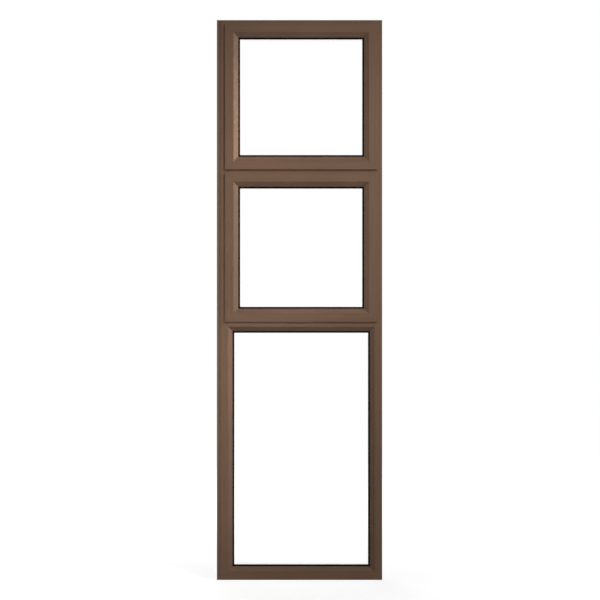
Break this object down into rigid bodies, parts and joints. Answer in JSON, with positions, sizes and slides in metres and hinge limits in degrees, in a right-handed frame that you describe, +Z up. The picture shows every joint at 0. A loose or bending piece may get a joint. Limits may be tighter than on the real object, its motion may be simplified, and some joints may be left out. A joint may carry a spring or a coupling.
{
  "type": "window sidelight",
  "caption": "Narrow aluminium sidelight for a door frame: two top-hung vents over a fixed pane, with bevelled glazing beads.",
  "frame": {"origin": "middle of the sill's underside, at half the frame's depth, with the coupling strip left out of the middle", "axes": "+Z up, -Y out of doors, +X to the right as seen from outside"},
  "size_m": [0.6, 0.081, 2.032],
  "materials": {
    "bronze_frame": "satin bronze-brown coating",
    "black_gasket": "matt",
    "clear_glass": "clear",
    "spacer_bar": "mill",
    "handle_metal": "satin bronze-brown coating",
    "block_plastic": "matt"
  },
  "bodies": {
    "root": {"frame_head": "bronze_frame", "frame_sill": "bronze_frame", "frame_jamb_left": "bronze_frame", "frame_jamb_right": "bronze_frame", "transom_lower": "bronze_frame", "transom_upper": "bronze_frame", "coupling_strip": "bronze_frame", "vent_lower_left_stile": "bronze_frame", "vent_lower_right_stile": "bronze_frame", "vent_lower_top_rail": "bronze_frame", "vent_lower_bottom_rail": "bronze_frame", "vent_upper_left_stile": "bronze_frame", "vent_upper_right_stile": "bronze_frame", "vent_upper_top_rail": "bronze_frame", "vent_upper_bottom_rail": "bronze_frame", "bead_fixed": "bronze_frame", "bead_lower": "bronze_frame", "bead_upper": "bronze_frame", "outer_gasket_fixed": "black_gasket", "outer_gasket_lower": "black_gasket", "outer_gasket_upper": "black_gasket", "inner_gasket_fixed": "black_gasket", "inner_gasket_lower": "black_gasket", "inner_gasket_upper": "black_gasket", "vent_seals_lower": "black_gasket", "vent_seals_upper": "black_gasket", "glass_fixed": "clear_glass", "glass_lower": "clear_glass", "glass_upper": "clear_glass", "spacer_fixed": "spacer_bar", "spacer_lower": "spacer_bar", "spacer_upper": "spacer_bar", "setting_blocks_fixed": "block_plastic", "setting_blocks_lower": "block_plastic", "setting_blocks_upper": "block_plastic", "handle_base_lower": "handle_metal", "handle_base_upper": "handle_metal", "handle_lever_lower": "handle_metal", "handle_lever_upper": "handle_metal"}
  },
  "joints": []
}
